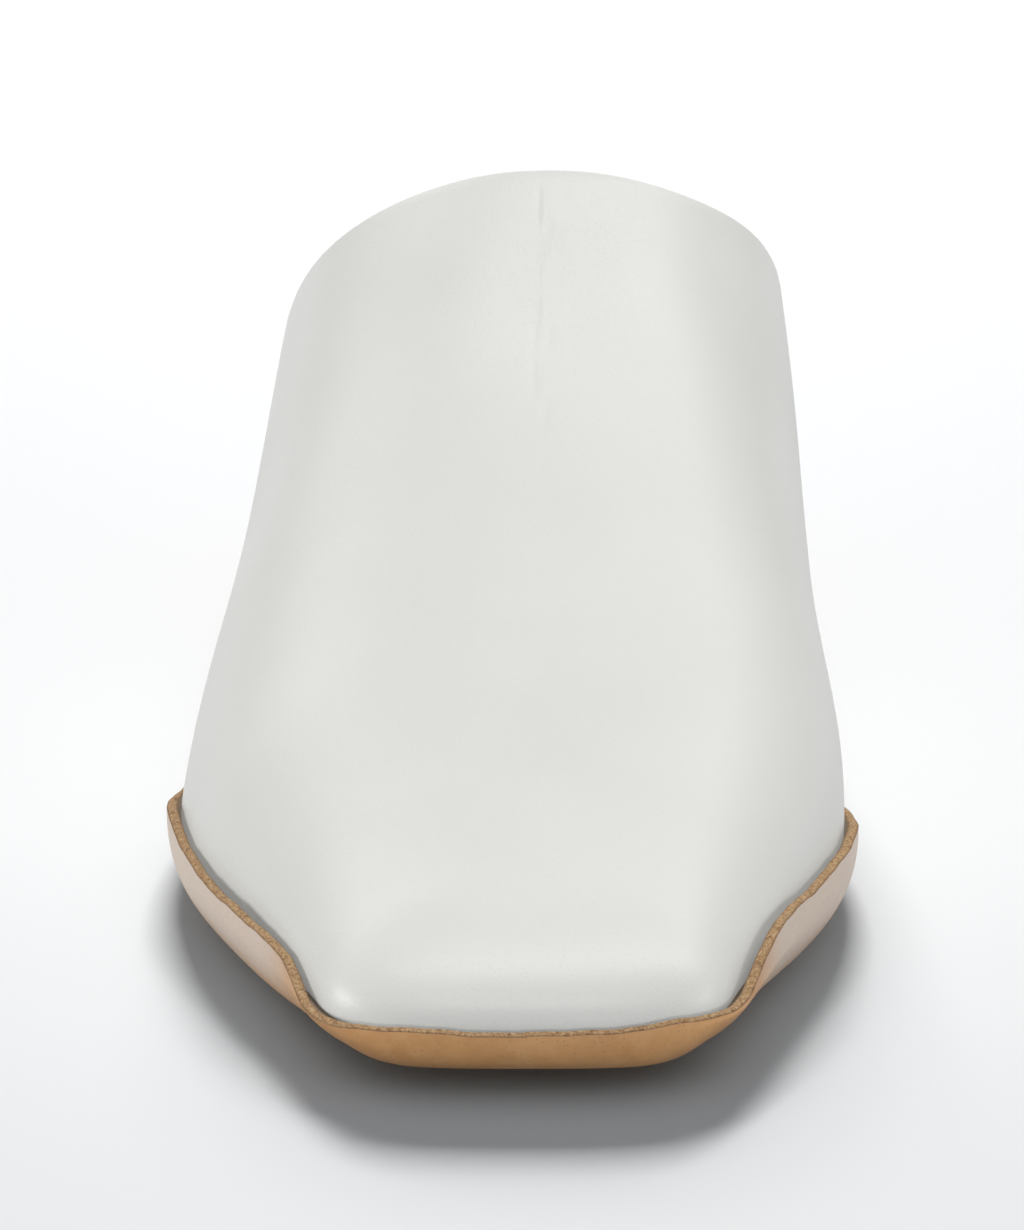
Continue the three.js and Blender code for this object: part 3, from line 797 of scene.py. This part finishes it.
def pale_floor():
    """A seamless pale sweep: flat up to FLAT_SHARE of its rows, a quarter circle to CURL_SHARE, a wall."""
    t = np.linspace(0, 1, FLOOR_ROWS)
    turn = np.clip((t - FLAT_SHARE) / (CURL_SHARE - FLAT_SHARE), 0, 1) * np.pi / 2
    y = np.where(t < FLAT_SHARE, lerp(FLOOR_FRONT, CURL, t / FLAT_SHARE), CURL + CURL_ROUND * np.sin(turn))
    z = CURL_ROUND * (1 - np.cos(turn)) + np.clip((t - CURL_SHARE) / (1 - CURL_SHARE), 0, 1) * WALL_HIGH
    x, y = np.meshgrid(np.linspace(-FLOOR_HALF, FLOOR_HALF, 3), y)
    grid = np.stack([x, y, np.broadcast_to(z[:, None], x.shape)], -1)
    mesh = bpy.data.meshes.new("floor_sweep")
    mesh.from_pydata(grid.reshape(-1, 3).tolist(), [], quads(*x.shape).tolist())
    mesh.polygons.foreach_set("use_smooth", np.ones(len(mesh.polygons), bool))
    paper = Bench("pale_floor", roughness=0.55, specular_ior_level=0.2, base_color=(0.80, 0.80, 0.80, 1))
    mesh.materials.append(paper.finish)
    sweep = bpy.data.objects.new("floor_sweep", mesh)
    bpy.context.scene.collection.objects.link(sweep)
    return sweep


floor = pale_floor()


def point(thing, where, aim):
    """Stands a thing at `where` with its -Z towards `aim`."""
    thing.location = where
    thing.rotation_euler = (Vector(aim) - Vector(where)).to_track_quat("-Z", "Y").to_euler()


def softbox(name, where, aim, size, power, lit, tint):
    """A rectangular soft light, turned towards `aim`, that lights the things in the collection `lit`."""
    data = bpy.data.lights.new(name, "AREA")
    data.color = tint
    data.shape, data.size, data.size_y, data.energy = "RECTANGLE", *size, power
    light = bpy.data.objects.new(name, data)
    light.light_linking.receiver_collection = lit
    point(light, where, aim)
    scene.collection.objects.link(light)


scene = bpy.context.scene
shoe_only, floor_only = bpy.data.collections.new("shoe_only"), bpy.data.collections.new("floor_only")
for piece in SHOE:
    shoe_only.objects.link(piece)
floor_only.objects.link(floor)
sole.visible_diffuse = False  # keeps the tan of the sole off the floor
WHITE, COOL = (1, 1, 1), (0.91, 0.96, 1.0)
GROUND, FOREFOOT = (0, 0, 0), (0, 0, 0.05)
# Name, place, what it is turned to, size, watts, what it lights, colour.
LIGHTS = [
    ("softbox_floor", (0.0, 2.7, 1.64), GROUND, (0.97, 0.81), 96, floor_only, WHITE),
    ("softbox_floor_fill", (0.0, -0.5, 3.0), (0, -0.5, 0), (6.0, 6.0), 31, floor_only, COOL),
    ("softbox_back", (0.0, 1.3, 1.0), GROUND, (2.0, 0.9), 9.9, shoe_only, WHITE),
    ("softbox_overhead", (0.27, 0.1, 1.2), FOREFOOT, (0.25, 1.5), 8.6, shoe_only, WHITE),
    ("softbox_front", (0.0, -1.3, 1.2), FOREFOOT, (1.0, 0.6), 5.4, shoe_only, WHITE),
    ("softbox_low", (0.25, -1.5, 0.10), (0, 0, 0.03), (0.9, 0.2), 3.5, shoe_only, WHITE),
    ("softbox_right", (1.5, -0.2, 0.3), FOREFOOT, (0.8, 0.5), 4.15, shoe_only, WHITE),
    ("softbox_left", (-1.5, -0.2, 0.3), FOREFOOT, (0.8, 0.5), 10.2, shoe_only, WHITE),
]
for light in LIGHTS:
    softbox(*light)

world = bpy.data.worlds.new("studio_air")
world.use_nodes = True
air = world.node_tree.nodes["Background"].inputs
air["Color"].default_value, air["Strength"].default_value = (0.93, 0.95, 1.0, 1), 0.12
scene.world = world
scene.view_settings.view_transform = "Standard"

# The camera stands at this elevation and distance from a point AIM_RISE below what it looks at.
ELEVATION, DISTANCE, AIM_RISE = math.radians(18), 1.5, 0.007
AIM = (0.0, -0.048, 0.042)
SENSOR, LENS = 36, 385
camera_data = bpy.data.cameras.new("camera")
camera_data.sensor_fit, camera_data.sensor_width, camera_data.lens = "HORIZONTAL", SENSOR, LENS
camera = bpy.data.objects.new("camera", camera_data)
stand = (0, AIM[1] - DISTANCE * math.cos(ELEVATION), AIM[2] - AIM_RISE + DISTANCE * math.sin(ELEVATION))
point(camera, stand, AIM)
scene.collection.objects.link(camera)
scene.camera = camera
